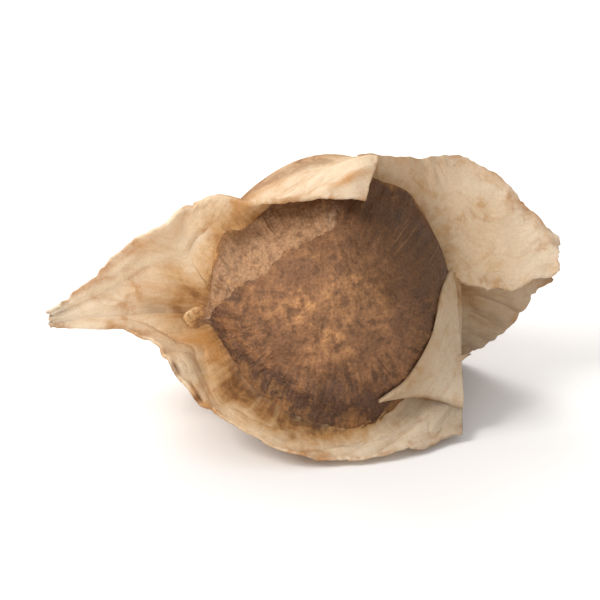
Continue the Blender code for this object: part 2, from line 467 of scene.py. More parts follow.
# free edges: x, y, z and how many degrees the wing turns on its way out to it
FOLDED_TOP_EDGE = (
    (-10.8, -1.6, 5.45, 0), (-9.5, -1.1, 6.15, 5), (-8.2, -0.6, 7.3, 10), (-6.4, -0.2, 8.5, 20),
    (-5.1, 0.0, 9.2, 30), (-3.6, 0.0, 9.7, 60), (-2.5, -0.6, 9.8, 100), (-1.6, -1.1, 10.1, 120),
    (0.7, -1.4, 10.4, 133), (2.8, -1.2, 10.2, 137),
)
STANDING_TOP_EDGE = (
    (2.6, 2.0, 10.85, -15), (3.4, 2.5, 10.7, -20), (4.8, 3.8, 10.05, -25), (6.1, 4.4, 9.9, -30),
    (7.7, 4.6, 9.0, -30), (9.5, 4.4, 7.3, -20), (10.5, 4.0, 6.2, 0),
)
FRONT_EDGE = (
    (-10.8, -1.65, 4.7, 0), (-8.5, -1.6, 4.6, 0), (-7.5, -1.6, 4.6, 0), (-6.4, -2.2, 4.2, -10),
    (-5.8, -3.0, 3.6, -10), (-4.9, -3.9, 2.6, -15), (-3.9, -4.5, 2.1, -20), (-2.7, -5.0, 1.5, -25),
    (-1.3, -5.3, 0.9, -35), (0.2, -5.3, 0.4, -40), (2.3, -5.0, 0.25, -50), (3.9, -4.4, 0.25, -50),
    (5.3, -3.5, 0.3, -50), (6.4, -2.8, 0.4, -60),
)
BACK_EDGE = (
    (-10.4, -1.4, 4.85, 0), (-8.5, 0.3, 4.2, 10), (-6.5, 2.5, 2.9, 15), (-4.9, 4.4, 1.8, 20),
    (-3.0, 6.1, 0.9, 30), (-1.0, 7.1, 0.3, 40), (1.2, 7.5, 0.2, 45), (3.2, 7.1, 0.2, 45),
    (5.0, 6.2, 0.2, 30), (6.5, 5.0, 0.25, 0), (7.7, 4.3, 1.3, 0), (8.5, 4.0, 2.2, 0),
    (9.5, 3.7, 3.8, 0), (10.4, 3.4, 4.5, 0),
)
# the flap: its upper edge lies on the body, and its lower edge is the crease where it leaves the front wing
FLAP_TOP = (
    (3.0, -3.0, 2.08), (3.5, -2.8, 2.38), (4.05, -2.45, 2.72), (4.7, -2.0, 3.55),
    (5.15, -1.5, 4.48), (5.5, -0.65, 5.75), (5.85, 0.9, 6.05), (6.1, 1.6, 5.8),
)
FLAP_CREASE = ((2.9, -3.05, 2.05), (4.6, -2.3, 1.82), (6.42, -2.15, 1.34))


def smooth_through(points, x):
    """The values at x of a smooth curve through points, whose first value is x."""
    last = len(points) - 1
    i = max(k for k in range(last) if k == 0 or points[k][0] <= x)
    before, start, end, after = (points[min(max(k, 0), last)] for k in (i - 1, i, i + 1, i + 2))
    span = end[0] - start[0]
    t = (x - start[0]) / span
    values = []
    for b, s, e, a in zip(before[1:], start[1:], end[1:], after[1:]):
        leave = (e - b) / (end[0] - before[0]) * span
        arrive = (a - s) / (after[0] - start[0]) * span
        rise = t * t * (3 - 2 * t)
        values.append(s + (e - s) * rise + leave * t * (1 - t) ** 2 - arrive * t * t * (1 - t))
    return values


def ridge_point(name, along):
    """Where a wing's root lies, sunk into the body under its ridge."""
    return body_point(along, ridge_at(name, along), -ROOT_DEPTH)


def root_line(ridge, start, end):
    """The root's places from one x to another: left tail, under the ridge, right tail."""
    line = [(x, *smooth_through(LEFT_TAIL, x)) for x in np.arange(start, LEFT_TAIL[-1][0], 0.05)]
    ridge_places = [ridge_point(ridge, along) for along in np.arange(-0.985, 0.9, 0.005).tolist()]
    line += [tuple(place) for place in ridge_places if start <= place.x <= end]
    tail = np.arange(max(start, ridge_places[-1].x), end, 0.05)
    return line + [(x, *smooth_through(RIGHT_TAIL, max(x, RIGHT_TAIL[0][0]))) for x in tail]


def edge_line(edge):
    """The free edge's places and turns, close together."""
    return [(x, *smooth_through(edge, x)) for x in np.linspace(edge[0][0], edge[-1][0], 400)]


def walk(line, steps):
    """Rows of numbers, the place first, at even distances along a line of such rows."""
    line = np.array(line)
    gaps = np.linalg.norm(np.diff(line[:, :3], axis=0), axis=1)
    reached = np.concatenate(([0.0], np.cumsum(gaps)))
    stops = np.linspace(0, reached[-1], steps + 1)
    return np.stack([np.interp(stops, reached, column) for column in line.T], axis=1)


def line_length(line):
    return float(np.linalg.norm(np.diff(np.array(line)[:, :3], axis=0), axis=1).sum())


def arc_point(root, edge, turn_degrees, share):
    """The point at a share of the way from root to edge, on an arc across X."""
    turn = math.radians(turn_degrees)
    chord = edge - root
    if abs(turn) < math.radians(1):
        return root + share * chord
    reach = math.sin(share * turn / 2) / math.sin(turn / 2)
    lean = (share - 1) * turn / 2
    y = chord.y * math.cos(lean) - chord.z * math.sin(lean)
    z = chord.y * math.sin(lean) + chord.z * math.cos(lean)
    return root + Vector((share * chord.x, reach * y, reach * z))


print("the tip of the left tail is at", LEFT_TAIL[0])

# %% [markdown]
# ## Dry paper
# The wings dried on the tree, so they are creased like paper: soft waves, sharp creases and a frayed
# edge. The height of a crease is the size of a smooth noise, which has a sharp valley wherever the noise
# passes zero. Each wing also has a few folds of its own, which are drawn as lines on the sheet.

# %% Creases, folds and the frayed edge
SOFT_WAVE = 0.26
SHARP_CREASE = 0.30
FINE_CREASE = 0.09
CREASE_LINE = 0.10  # the noise below which a place counts as creased


def wave(x, y, z):
    """A smooth noise, between -1 and 1."""
    return noise.noise(Vector((x, y, z)))


def crumple(along, out, seed):
    """The height of the waves and creases at a place on a sheet, in mm, and how creased it is."""
    soft = wave(along / 2.8, out / 2.4, seed)
    sharp = abs(wave(along / 2.0 + 3, out / 1.4, seed + 0.5))
    fine = abs(wave(along / 0.9, out / 0.6, seed + 7))
    height = SOFT_WAVE * soft - SHARP_CREASE * sharp - FINE_CREASE * fine
    return height, 1 - min(1.0, sharp / CREASE_LINE)


def fold_height(folds, x, share):
    """The height at a place of the folds, each given by its two ends, its height and its half width."""
    height = 0.0
    for (x0, share0), (x1, share1), tall, half_width, sheet_width in folds:
        line = Vector((x1 - x0, (share1 - share0) * sheet_width))
        here = Vector((x - x0, (share - share0) * sheet_width))
        t = min(1.0, max(0.0, here.dot(line) / line.length_squared))
        away = (here - t * line).length / half_width
        if away < 1:
            height += tall * (1 - away) ** 1.5 * (1 - 0.5 * abs(2 * t - 1))
    return height


def fray(x, seed):
    """How far the free edge stands out or falls short at x, in mm."""
    coarse = wave(x / 1.1, seed, 0)
    fine = wave(x / 0.3, seed, 5)
    nick = max(0.0, wave(x / 0.55, seed, 9) - 0.3)
    return 0.16 * coarse + 0.07 * fine - 0.5 * nick - 0.05


print("creases of", SHARP_CREASE, "mm")

# %% [markdown]
# ## A wing from a grid
# A grid primitive is a sheet with columns and rows. Its columns become the sections along the wing, and
# its rows run from the root to the free edge. Then the folds move each point along the sheet's own
# normal, and a Solidify modifier gives the paper its thickness: thin outside, thick at the root where it
# joins the keel.

# %% How far from the body
def from_body(place):
    """Distance in mm from the body's surface, nearly."""
    from_middle = place - BODY_CENTRE
    along = from_middle.dot(BODY_AXIS) / BODY_HALF_LENGTH
    side = from_middle - from_middle.dot(BODY_AXIS) * BODY_AXIS
    degrees = math.degrees(math.atan2(side.dot(across(90)), side.dot(across(0))))
    width = side.length / radius_at(max(-1.0, min(1.0, along)), degrees)
    size = (width**END_FULLNESS + abs(along) ** END_FULLNESS) ** (1 / END_FULLNESS)
    return (size - 1) * FACE_RADIUS


print("the left tip is", round(from_body(Vector(LEFT_TAIL[0])), 1), "mm from the body")

# %% The places of a sheet
COLUMN_STEP = 0.075
WING_ROWS = 64
POLE_BURY = 0.75  # the roots go this much deeper near the left pole, where the body is blunt


def by_x(*steps, base=0.0):
    """A number for each x. Each step adds an amount, from the x where it starts to where it is full."""
    return lambda x, *rest: base + sum(amount * ease(*span, x) for amount, *span in steps)


def nowhere(*place):
    return (0.0, 0.0, 0.0)


nothing = by_x()
fully = by_x(base=1.0)


def sheet_places(edge, ridge, seed, end_shape=nothing, nudge=nowhere, ragged=fully):
    """The sheet's points before it is creased, [column][row], and each column's x at the free edge."""
    columns = round(line_length(edge_line(edge)) / COLUMN_STEP)
    tips = walk(edge_line(edge), columns)
    roots = walk(root_line(ridge, edge[0][0], edge[-1][0]), columns)
    lines = []
    for column in range(columns + 1):
        x, y, z, turn = tips[column].tolist()
        root, tip = Vector(roots[column]), Vector((x, y, z))
        root.x += POLE_BURY * ease(-4.8, -4.2, root.x) * ease(-2.4, -3.4, root.x)
        length = max(0.3, (tip - root).length)
        reach = 1 + fray(column * COLUMN_STEP, seed) * ragged(x) / length
        line = []
        for row in range(WING_ROWS + 1):
            share = row / WING_ROWS
            stretch = share * (1 + (reach - 1) * share**3)
            place = arc_point(root, tip, turn, stretch)
            place.x += end_shape(x, share)
            line.append(place + Vector(nudge(x, share)))
        lines.append(line)
    return lines, tips[:, 0]


print("columns", COLUMN_STEP, "mm apart")

# %% The places of the flap
FLAP_TUCK = 0.94  # the share of the way down where the tuck starts
FIBRE_ROW = 41
LOOSE_FIBRE = Vector((0.45, -0.1, 0.28))


def torn(share, seed):
    """An uneven cut, at a share of its length."""
    return wave(share * 4, seed, 0) + 0.5 * wave(share * 13, seed, 4)


def flap_places():
    """The flap's points, from its upper edge down to the crease, where it is tucked back."""
    columns = round(line_length(edge_line(FLAP_TOP)) / COLUMN_STEP)
    tops, creases = walk(edge_line(FLAP_TOP), columns), walk(edge_line(FLAP_CREASE), columns)
    lines = []
    for column in range(columns + 1):
        top, crease = Vector(tops[column]), Vector(creases[column])
        line = []
        for row in range(WING_ROWS + 1):
            share = row / WING_ROWS
            place = top.lerp(crease, share)
            tuck = max(0.0, (share - FLAP_TUCK) / (1 - FLAP_TUCK))
            bulge = 4 * share * (1 - share)
            place.y += -0.15 * bulge + 0.30 * tuck**2
            place.z -= 0.10 * tuck**2
            place.x += 0.05 * torn(share, 6) * (column / columns) ** 8
            fibre = math.exp(-(((row - FIBRE_ROW) / 0.4) ** 2)) * (column / columns) ** 40
            place += fibre * LOOSE_FIBRE
            line.append(place)
        lines.append(line)
    return lines, creases[:, 0]


def sheet_normals(places):
    grid = np.array([[tuple(place) for place in line] for line in places])
    along = np.gradient(grid, axis=0)
    out = np.gradient(grid, axis=1)
    normal = np.cross(along, out)
    return normal / np.maximum(np.linalg.norm(normal, axis=2, keepdims=True), 1e-9)


print("loose fibre in row", FIBRE_ROW)

# %% What the paper's finish reads
LEFT_END = (-2.6, -4.2)  # the brown border grows wider from the first x to the second
EDGE_WIDTH = 0.25


def spot_share(spots, x, out, length):
    """How brown a place is. Each spot has an x, a share of the way out, a radius and a strength."""
    brown = 0.0
    for spot_x, spot_out, radius, strength in spots:
        away = math.hypot(x - spot_x, out - spot_out * length) / radius
        brown = max(brown, strength * ease(1.0, 0.2, away))
    return brown


def border_place(place, out, crisp):
    """How far out a place is in the colours of the border. Crisp makes the border narrow."""
    away = max(from_body(place), out - ROOT_DEPTH - 0.3)
    left_end = ease(*LEFT_END, place.x)
    wider = 0.35 * math.exp(-max(0.0, away) / 0.6) - 0.3 * min(1.0, away)
    return 1.4 * away - 0.25 + left_end * wider + crisp * (1.7 - 0.4 * away)


def lay_out_sheet(mesh, plans):
    """A UV map in mm: along the wing, and out from its root."""
    layout = new_layout(mesh, "sheet_plan")
    for loop in mesh.loops:
        layout.data[loop.index].uv = plans[loop.vertex_index]


print("brown edge about", EDGE_WIDTH, "mm wide")

# %% Thickness
PAPER = 0.12
ROOT_THICKNESS = 1.3
ROOT_FADE = 0.42


def root_share(place):
    """1 at the root and less and less outwards, more slowly at the left end."""
    fade = ROOT_FADE * (1 + ease(*LEFT_END, place.x))
    return math.exp(-max(0.0, from_body(place)) / fade)


def give_thickness(wing, weights, root_thickness):
    thick = wing.vertex_groups.new(name="thick_root")
    for index, weight in enumerate(weights):
        thick.add([index], weight, "REPLACE")
    choose_only(wing)
    paper = wing.modifiers.new("paper", "SOLIDIFY")
    paper.thickness = root_thickness * MM
    paper.offset = 0
    paper.vertex_group = thick.name
    paper.thickness_vertex_group = PAPER / root_thickness
    bpy.ops.object.modifier_apply(modifier=paper.name)
    wing.vertex_groups.clear()


print("paper", PAPER, "mm thick")

# %% Make a wing
PLEAT_HEIGHT = 0.06


def creased_share(place, out, length):
    """How freely the paper creases: not on the body, not at the root, and less where the wing is narrow."""
    off_body = ease(0.3, 1.5, from_body(place))
    return off_body * ease(0.0, 0.8, out) * ease(0.0, 2.5, length)


def make_wing(name, sheet, seed, folds=(), pleats=(), spots=(), tints=(), creasing=1.0,
              root_thickness=ROOT_THICKNESS, crisp=nothing, painted_shade_and_stain=nothing):
    """A wing's sheet. By x on the free edge, crisp shortens the brown border and painted shade darkens it.
    """
    flat, edge_x = sheet
    columns = len(flat) - 1
    choose_only()
    bpy.ops.mesh.primitive_grid_add(x_subdivisions=columns, y_subdivisions=WING_ROWS, size=1)
    wing = bpy.context.object
    wing.name = name
    normals = sheet_normals(flat)
    places, plans, marks = [], [], []
    for vertex in wing.data.vertices:
        column = round((vertex.co.x + 0.5) * columns)
        row = round((vertex.co.y + 0.5) * WING_ROWS)
        smooth, root, tip = flat[column][row], flat[column][0], flat[column][-1]
        x, share, length = edge_x[column], row / WING_ROWS, (tip - root).length
        along, out = column * COLUMN_STEP, (smooth - root).length
        height, crease = crumple(along, out, seed)
        pleat = fold_height(pleats, x, share)
        height *= creased_share(smooth, out, length) * creasing
        place = smooth + (height + fold_height(folds, x, share) + pleat) * Vector(normals[column][row])
        place.z = max(place.z, PAPER / 2)
        places.append(place)
        plans.append((along, out))
        marks.append({
            "outward": border_place(place, out, crisp(x)),
            "crease": crease,
            "edge": math.exp(-(tip - smooth).length / EDGE_WIDTH),
            "pleat": min(1.0, abs(pleat) / PLEAT_HEIGHT),
            "spot_and_shadow": spot_share(spots, x, share * length, length),
            "painted_shade_and_stain": painted_shade_and_stain(x),
            "tint_and_highlight": fold_height(tints, x, share),
        })
    keep_marks(wing.data, marks)
    lay_out_sheet(wing.data, plans)
    place_points(wing, places)
    give_thickness(wing, [root_share(place) for place in places], root_thickness)
    bpy.ops.object.shade_smooth()
    return wing


print("a pleat is", PLEAT_HEIGHT, "mm deep")

# %% [markdown]
# ## The five sheets
# The top wing is torn in two near the right pole. Its left part stands up and then folds forward over the
# body as a lip, and its right part stands behind as a fan. The front wing runs along the table to a cut
# corner on the right, where a flap of it stands up against the body. The back wing is whole and reaches
# the table behind the body. Folds, spots and tints are listed for each sheet.

# %% Folds and spots
# folds: two ends as (x, share of the way out), height, half width and the sheet's width there, all in mm
LEFT_FOLDS = (
    ((-10.0, 0.50), (-4.4, 0.70), -0.34, 0.9, 3.5),
    ((-7.0, 0.55), (-5.2, 0.25), 0.14, 0.5, 4.0),
    ((0.7, 0.93), (2.6, 0.74), -0.15, 0.35, 3.5),
)
FRONT_FOLDS = (
    ((-7.5, 0.3), (-4.6, 0.75), 0.18, 0.5, 3.0),
    ((-1.2, 0.45), (-2.2, 0.95), -0.16, 0.4, 4.0),
    ((0.6, 0.80), (4.2, 0.75), -0.12, 0.5, 4.0),
)
# spots: x, share of the way out, radius in mm and strength, and a row of them along the bend above the lip
LEFT_SPOTS = (
    (-6.9, 0.06, 0.5, 0.55),
    (-7.6, 0.05, 0.6, 0.35),
    (3.0, 0.45, 0.3, 0.6),
    *((x, 0.44, 0.5, 0.42) for x in np.arange(-2.8, 1.1, 0.3).tolist()),
)
FAN_SPOTS = ((10.4, 0.80, 0.4, 0.4), (10.1, 1.0, 0.35, 0.35))
FRONT_SPOTS_AND_SHADOW = (
    # a painted shadow in the hollow under the nub
    (-5.95, 0.14, 0.3, 0.95),
    (-5.62, 0.98, 0.26, 0.9),
    (-4.69, 0.98, 0.28, 0.9),
    (6.4, 0.95, 0.4, 0.35),
)
print(len(LEFT_FOLDS + FRONT_FOLDS), "folds and", len(LEFT_SPOTS + FAN_SPOTS + FRONT_SPOTS_AND_SHADOW), "spots")

# %% Tints
# lines like the folds, orange where the strength is above zero, and a pale painted highlight where it is
# below
LEFT_TINTS = (
    ((-8.8, 0.90), (-5.2, 0.92), 0.5, 0.5, 3.5),
    ((-8.2, 0.50), (-6.6, 0.27), 0.45, 0.5, 3.5),
    ((-5.8, 0.47), (-3.2, 0.42), 0.6, 0.45, 3.5),
    # a painted highlight along the lit middle of the left wing
    ((-8.6, 0.68), (-4.6, 0.66), -0.9, 0.5, 3.5),
    ((-3.6, 0.66), (-1.2, 0.60), 0.6, 0.3, 3.5),
    ((0.9, 0.89), (2.7, 0.77), 1.0, 0.3, 3.5),
)
FRONT_TINTS = (
    ((-6.0, 0.50), (-5.2, 0.36), 1.0, 0.75, 3.5),
    # a painted highlight along the front band
    ((0.8, 0.72), (4.2, 0.70), -0.8, 0.7, 4.0),
)
print(len(LEFT_TINTS + FRONT_TINTS), "tints")

# %% Pleats
# their two ends as (x, share of the way out)
LONG_PLEATS = (
    ((-3.16, 0.30), (-3.16, 0.67)),
    ((-2.60, 0.24), (-1.95, 0.90)),
    ((-1.50, 0.47), (-0.60, 0.66)),
)
SHORT_PLEATS = 8
FIRST_PLEAT = -2.4
PLEAT_STEP = 0.5
PLEAT_WIDTH = 0.10
PLEATED_WIDTH = 3.5  # of the sheet there, in mm


def draw_pleats():
    """Three long pleats, and short ones with uneven gaps and lengths, that run out from the body."""
    draw = random.Random(7)
    lines = list(LONG_PLEATS)
    for number in range(SHORT_PLEATS):
        x = FIRST_PLEAT + PLEAT_STEP * (number + draw.uniform(-0.3, 0.3))
        start = draw.uniform(0.12, 0.22)
        lines.append(((x, start), (x + draw.uniform(0.1, 0.5), start + draw.uniform(0.12, 0.28))))
    return [(*line, -PLEAT_HEIGHT, PLEAT_WIDTH, PLEATED_WIDTH) for line in lines]


print(len(draw_pleats()), "pleats")

# %% Ends of the sheets
def lip_end(x, share):
    """The left tip is worn short, and the lip's right end slants back towards the free edge."""
    slant = 0.22 - 0.68 * share**2 + 0.12 * torn(share, 1)
    return slant * ease(1.3, 2.8, x) + (0.15 + 0.2 * torn(share, 8)) * ease(-9.6, -10.8, x)


def fan_end(x, share):
    slant = (0.05 + 0.12 * torn(share, 3)) * ease(9.5, 10.5, x)
    return slant - 0.5 * share * ease(4.4, 3.2, x)


def front_end(x, share):
    worn = (0.15 + 0.2 * torn(share, 12)) * ease(-9.6, -10.8, x)
    return (0.08 * torn(share, 6) - 0.12 * (1 - share)) * ease(5.4, 6.4, x) + worn


def back_end(x, share):
    left = (0.2 + 0.3 * torn(share, 15)) * ease(-9.4, -10.4, x)
    return left - (0.2 + 0.3 * torn(share, 21)) * ease(9.4, 10.4, x)


print("the lip's end slants back by", -round(lip_end(2.8, 1.0), 2), "mm")

# %% Nudges
def low_lip(x, share):
    """The fold of the lip lies low, so that the body's top shows as a thin line above it."""
    over = ease(-4.5, -2.5, x) * (1 - 0.7 * ease(1.0, 2.8, x))
    return (0.0, 0.0, -0.40 * over * 4 * share * (1 - share))


def fan_root(x, share):
    """The fan starts behind the body's top. Right of the body its hem is torn, and curls forward."""
    behind = ease(7.5, 6.0, x) * (1 - share) ** 2
    curl = ease(6.4, 7.6, x)
    uneven = 0.25 * wave(x / 0.5, 2, 0) + 0.12 * wave(x / 0.17, 6, 0)
    back = 0.95 * behind - 0.40 * curl * (1 - share) ** 5
    rise = 0.55 * ease(8.6, 10.4, x)
    return (0.0, back, -0.35 * behind + (uneven - 0.30 + rise) * curl * (1 - share) ** 3)


def set_back(x, share):
    """The back wing's right part lies a little behind the torn hem."""
    return (0.0, 0.45 * ease(6.4, 7.6, x) * (1 - share), 0.0)


print("the lip lies", -round(low_lip(0.0, 0.5)[2], 2), "mm lower than an arc")

# %% Numbers that change along a wing
lip_ragged = by_x((-0.65, -4.0, -2.5), base=1.0)
front_crisp = by_x((0.7, 0.8, 2.4), (-0.45, -5.2, -4.0), (0.45, 0.8, 1.8))
# painted shade on the front wing, under the flap and at its right end
front_painted_shade = by_x((0.2, 1.6, 3.2), (0.35, 4.4, 5.4))
print("the front border is widened by", -round(front_crisp(0.8), 2), "mm")

# %% Wings
folded_wing = make_wing(
    "folded_top_wing", sheet_places(FOLDED_TOP_EDGE, "top", 2.0, lip_end, low_lip, lip_ragged), 2.0,
    LEFT_FOLDS, spots=LEFT_SPOTS, tints=LEFT_TINTS, crisp=by_x((0.62, -3.2, -1.6)),
)
# the fan is darkened with painted shade
standing_wing = make_wing(
    "standing_top_wing", sheet_places(STANDING_TOP_EDGE, "top", 5.0, fan_end, fan_root), 5.0,
    spots=FAN_SPOTS, creasing=0.8, crisp=by_x((0.95, 2.7, 4.2)), painted_shade_and_stain=by_x((-0.32, 5.0, 8.5), base=0.42),
)
front_wing = make_wing(
    "front_wing", sheet_places(FRONT_EDGE, "front", 11.0, front_end), 11.0,
    FRONT_FOLDS, draw_pleats(), FRONT_SPOTS_AND_SHADOW, FRONT_TINTS, crisp=front_crisp, painted_shade_and_stain=front_painted_shade,
)
# the flap is darkened with painted shade
flap = make_wing(
    "front_flap", flap_places(), 23.0,
    creasing=0.35, root_thickness=PAPER, crisp=by_x(base=1.5), painted_shade_and_stain=by_x(base=0.38),
)
# the back wing's right part is darkened with painted shade and a brown stain
back_wing = make_wing(
    "back_wing", sheet_places(BACK_EDGE, "back", 17.0, back_end, set_back), 17.0,
    painted_shade_and_stain=by_x((0.7, 5.0, 6.5)),
)
wings = (folded_wing, standing_wing, front_wing, flap, back_wing)
for wing in wings:
    print(wing.name, len(wing.data.polygons), "faces")

# %% [markdown]
# ## Mixing colours
# A finish is a chain of nodes. Recipe adds them one at a time and joins them up, so that each finish
# below reads like a list of what goes into it. Colours are written as they look on a screen, from 0 to
# 255.

# %% Recipes
def screen_colour(red, green, blue):
    def linear(value):
        value /= 255
        return value / 12.92 if value <= 0.04045 else ((value + 0.055) / 1.055) ** 2.4

    return (linear(red), linear(green), linear(blue), 1)


class Recipe:
    """A material whose nodes are added one at a time."""

    def __init__(self, name):
        self.finish = bpy.data.materials.new(name)
        self.finish.use_nodes = True
        self.tree = self.finish.node_tree
        self.shader = self.tree.nodes["Principled BSDF"]

    def add(self, kind, inputs, **settings):
        made = self.tree.nodes.new("ShaderNode" + kind)
        for name, value in settings.items():
            setattr(made, name, value)
        for name, value in inputs.items():
            self.feed(made.inputs[name], value)
        return made

    def feed(self, socket, value):
        """Joins another node's output to a socket, or sets the socket. A colour is given as on a screen."""
        if isinstance(value, bpy.types.NodeSocket):
            self.tree.links.new(value, socket)
        elif socket.type == "RGBA":
            socket.default_value = screen_colour(*value)
        else:
            socket.default_value = value

    def set(self, name, value):
        """Feeds an input of the shader."""
        self.feed(self.shader.inputs[name], value)

    def plus(self, a, b):
        return self.add("Math", {0: a, 1: b}, operation="ADD").outputs[0]

    def times(self, a, b):
        return self.add("Math", {0: a, 1: b}, operation="MULTIPLY").outputs[0]

    def vectors(self, operation, a, b=(0.0, 0.0, 0.0)):
        return self.add("VectorMath", {0: a, 1: b}, operation=operation).outputs

    def scaled(self, vector, size):
        return self.add("VectorMath", {0: vector, "Scale": size}, operation="SCALE").outputs[0]

    def cloud(self, where, size, detail=2.0, rough=0.5, swirl=0.0):
        """A soft noise whose lumps are about size mm, where the place is in mm."""
        inputs = {"Vector": where, "Scale": 1 / size, "Detail": detail}
        return self.add("TexNoise", inputs | {"Roughness": rough, "Distortion": swirl}).outputs["Fac"]

    def between(self, value, low, high, start=0.0, end=1.0):
        """value from low to high becomes start to end, with a soft rise."""
        inputs = {"Value": value, "From Min": low, "From Max": high, "To Min": start, "To Max": end}
        return self.add("MapRange", inputs, interpolation_type="SMOOTHSTEP").outputs["Result"]

    def ramp(self, value, stops):
        """The colour at a value, between stops of a value and a colour each."""
        low, high = stops[0][0], stops[-1][0]
        share = self.add("MapRange", {"Value": value, "From Min": low, "From Max": high})
        made = self.add("ValToRGB", {0: share.outputs["Result"]})
        steps = made.color_ramp.elements
        steps[0].color, steps[1].color = (screen_colour(*stops[end][1]) for end in (0, -1))
        for stop, colour in stops[1:-1]:
            steps.new((stop - low) / (high - low)).color = screen_colour(*colour)
        return made.outputs["Color"]

    def mix(self, share, a, b, blend="MIX"):
        mixed = self.add("Mix", {0: share, 6: a, 7: b}, data_type="RGBA", blend_type=blend)
        return mixed.outputs[2]

    def speckled(self, colour, grain, low, high):
        """The colour, darker and lighter by a fine grain."""
        light = self.between(grain, 0.3, 0.7, low, high)
        grey = self.add("CombineColor", {0: light, 1: light, 2: light}).outputs[0]
        return self.mix(1.0, colour, grey, "MULTIPLY")

    def place(self):
        """The place in mm. Object coordinates are in metres."""
        return self.scaled(self.add("TexCoord", {}).outputs["Object"], 1 / MM)

    def rays(self, place, centre, fineness):
        """Where a noise is read so that it makes streaks away from a centre."""
        away = self.vectors("SUBTRACT", place, centre)[0]
        return self.scaled(self.vectors("NORMALIZE", away)[0], fineness)

    def plan(self, name):
        return self.add("UVMap", {}, uv_map=name).outputs["UV"]

    def number(self, name):
        return self.add("Attribute", {}, attribute_name=name).outputs["Fac"]

    def bump(self, height, depth_mm):
        inputs = {"Height": height, "Distance": depth_mm * MM, "Strength": 1.0}
        return self.add("Bump", inputs).outputs["Normal"]


print("recipe ready")

# %% [markdown]
# ## The border between coat and paper
# The coat and the wings are one skin. Outwards over a ridge the dark brown turns to orange, then to tan
# and at last to cream, and the border is uneven. Both finishes read the same ramp of colours at their
# distance from the ridge, which the pieces keep as the number "outward", so no seam shows where they
# meet.

# %% Border
HUSK_COLOURS = (
    (-1.5, (98, 73, 60)),
    (-0.7, (88, 63, 48)),
    (-0.25, (128, 92, 61)),
    (0.2, (148, 104, 64)),
    (0.7, (188, 142, 92)),
    (1.4, (216, 180, 134)),
    (2.6, (232, 208, 174)),
    (5.5, (239, 223, 198)),
)


def uneven_outward(recipe, place, streak):
    """The distance out from the ridge, disturbed by blots and by streaks."""
    blot = recipe.cloud(place, 1.3, 4.0, 0.6, 0.3)
    outward = recipe.plus(recipe.number("outward"), recipe.between(blot, 0.3, 0.7, 0.55, -0.55))
    return recipe.plus(outward, recipe.between(streak, 0.3, 0.7, 0.32, -0.32))


print(len(HUSK_COLOURS), "colours from coat to paper")

# %% [markdown]
# ## The coat
# In the middle of a face the coat is a warm brown with orange flecks, under a painted highlight. Short dark
# streaks point outwards from there, and towards the right pole painted shade darkens the coat. Beyond the
# ragged line where the outer skin has flaked off it is tan, with pale flakes and a painted highlight along
# the line. A painted shadow, over a browner coat, runs along the top ridge under the lip.

# %% Coat
COAT_DARK = (72, 50, 37)
COAT_BROWN = (118, 82, 56)
COAT_WARM = (146, 103, 70)
COAT_FLECK = (196, 144, 94)
# painted shade towards the right pole
COAT_PAINTED_SHADE = (88, 59, 35)
# the middle of a painted highlight, on each face's plan in mm
PAINTED_HIGHLIGHT_CENTRE = (0.5, 0.3, 0.0)
PAINTED_SHADE_WAY = (0.95, -0.35, 0.0)


def coat_middle(coat, plan, mottle, small, broad):
    """Brown with flecks, with a painted highlight mid-face and painted shade towards the right pole."""
    colour = coat.mix(coat.between(mottle, 0.36, 0.64), COAT_BROWN, COAT_WARM)
    colour = coat.mix(coat.between(small, 0.50, 0.34, 0.0, 0.5), colour, COAT_DARK)
    flecks = coat.times(coat.between(mottle, 0.48, 0.62), coat.between(small, 0.46, 0.62))
    reach = coat.vectors("LENGTH", plan)["Value"]
    colour = coat.mix(coat.times(flecks, coat.between(reach, 3.6, 0.8, 0.05, 0.8)), colour, COAT_FLECK)
    # a painted highlight round the middle of the face
    painted_highlight = coat.between(coat.vectors("DISTANCE", plan, PAINTED_HIGHLIGHT_CENTRE)["Value"], 2.4, 0.2, 0.0, 0.28)
    colour = coat.mix(coat.times(painted_highlight, coat.between(small, 0.36, 0.56, 0.3, 1.0)), colour, COAT_FLECK)
    # painted shade, darker towards the right pole
    along = coat.vectors("DOT_PRODUCT", plan, PAINTED_SHADE_WAY)["Value"]
    right_shade = coat.plus(along, coat.between(broad, 0.3, 0.7, -0.9, 0.9))
    return coat.mix(coat.between(right_shade, 0.3, 3.6, 0.0, 0.9), colour, COAT_PAINTED_SHADE)


print("the coat glows round", PAINTED_HIGHLIGHT_CENTRE)

# %% Worn skin, painted highlight and painted shadow
COAT_TAN = (176, 137, 102)
COAT_FLAKE_AND_HIGHLIGHT = (184, 156, 132)
COAT_PAINTED_LIP_SHADOW = (96, 62, 34)


def coat_worn(coat, colour, outward, small):
    """Tan where the outer skin is gone, and pale flakes with a painted highlight along its edge."""
    worn = coat.number("worn")
    inside = coat.between(outward, 0.1, -0.9, 0.0, 0.8)
    bare = coat.times(worn, coat.between(small, 0.30, 0.55, 0.35, 1.0))
    colour = coat.mix(coat.times(bare, inside), colour, COAT_TAN)
    # pale flakes, and a painted highlight along the worn step
    flake_and_highlight = coat.times(coat.between(worn, 0.02, 0.4), coat.between(worn, 0.98, 0.6))
    flake_and_highlight = coat.times(coat.times(flake_and_highlight, inside), coat.between(small, 0.42, 0.6, 0.0, 0.8))
    return coat.mix(flake_and_highlight, colour, COAT_FLAKE_AND_HIGHLIGHT)


def paint_lip_shadow(coat, colour, broad):
    """Painted shadow under the lip, over a browner coat, stronger in some places."""
    shade = coat.times(coat.number("painted_lip_shadow"), coat.between(broad, 0.3, 0.6, 0.55, 0.85))
    return coat.mix(shade, colour, COAT_PAINTED_LIP_SHADOW)


print("worn skin", COAT_TAN)

# %% The coat's finish
COAT_RAYS = 7.0
COAT_BUMP = 0.20
COAT_ROUGHNESS = (0.52, 0.74)
COAT_SPECULAR = 0.22


